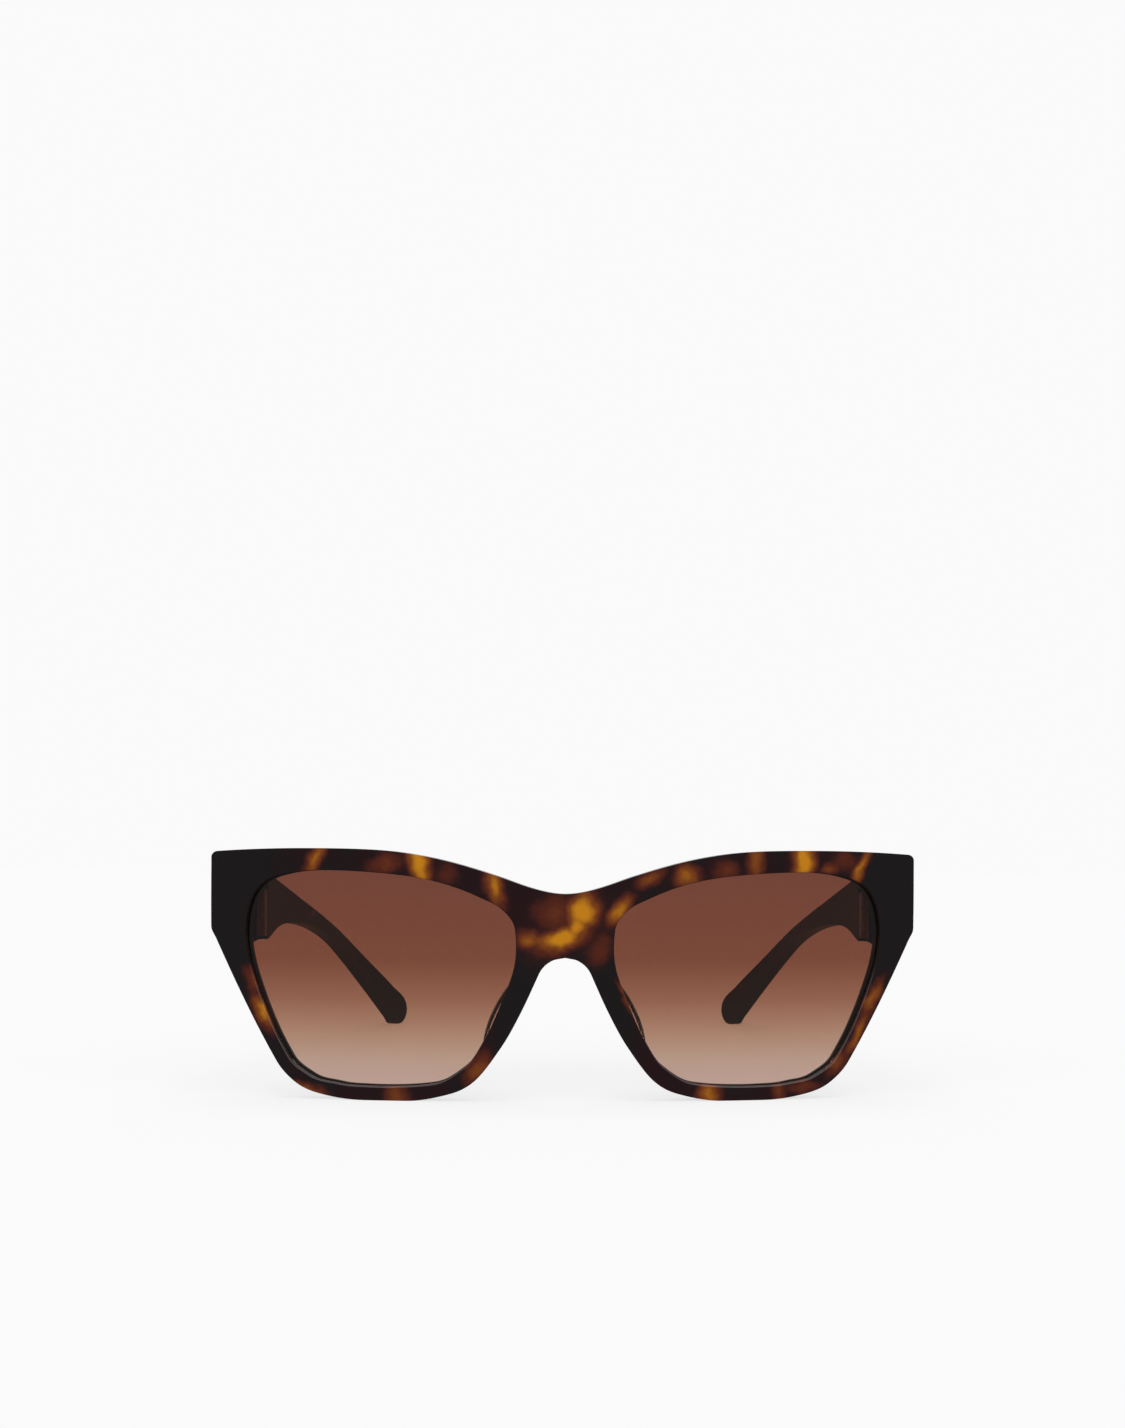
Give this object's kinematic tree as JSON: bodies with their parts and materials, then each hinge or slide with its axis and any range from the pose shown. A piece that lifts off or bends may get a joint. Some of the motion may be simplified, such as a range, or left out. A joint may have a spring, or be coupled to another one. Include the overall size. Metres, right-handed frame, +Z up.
{
  "type": "cat-eye sunglasses",
  "caption": "Cat-eye sunglasses: tortoise acetate front, brown gradient lenses, bonded clear nose pads, and wire-cored temples that fold on knuckle hinges.",
  "frame": {"origin": "centre of the open glasses' footprint, on the surface that the rims and the temple tips stand on", "axes": "+X towards the wearer's left, +Y from the front towards the temple tips, +Z up"},
  "size_m": [0.1444, 0.1494, 0.0506],
  "materials": {
    "front_acetate": "polished dark tortoise with amber and red-brown patches",
    "temple_acetate": "polished dark tortoise",
    "tinted_lens": "smooth brown gradient, clearer towards the bottom",
    "clear_acetate": "clear polished",
    "hinge_metal": "satin nickel silver",
    "screw_metal": "bright steel",
    "core_metal": "drawn wire"
  },
  "bodies": {
    "front": {"front_frame": "front_acetate", "lens_left": "tinted_lens", "lens_right": "tinted_lens", "nose_pad_left": "clear_acetate", "nose_pad_right": "clear_acetate", "front_hinge_left": "hinge_metal", "front_hinge_right": "hinge_metal", "hinge_screw_left": "screw_metal", "hinge_screw_right": "screw_metal"},
    "left_temple": {"temple_left": "temple_acetate", "temple_core_left": "core_metal", "temple_hinge_left": "hinge_metal"},
    "right_temple": {"temple_right": "temple_acetate", "temple_core_right": "core_metal", "temple_hinge_right": "hinge_metal"}
  },
  "joints": [
    {"name": "left_temple_fold", "type": "hinge", "parent": "front", "child": "left_temple", "pos_m": [0.0631, -0.06072, 0.037], "axis": [0, 0, 1], "range_deg": [0, 85]},
    {"name": "right_temple_fold", "type": "hinge", "parent": "front", "child": "right_temple", "pos_m": [-0.0631, -0.06072, 0.037], "axis": [0, 0, -1], "range_deg": [0, 77]}
  ]
}
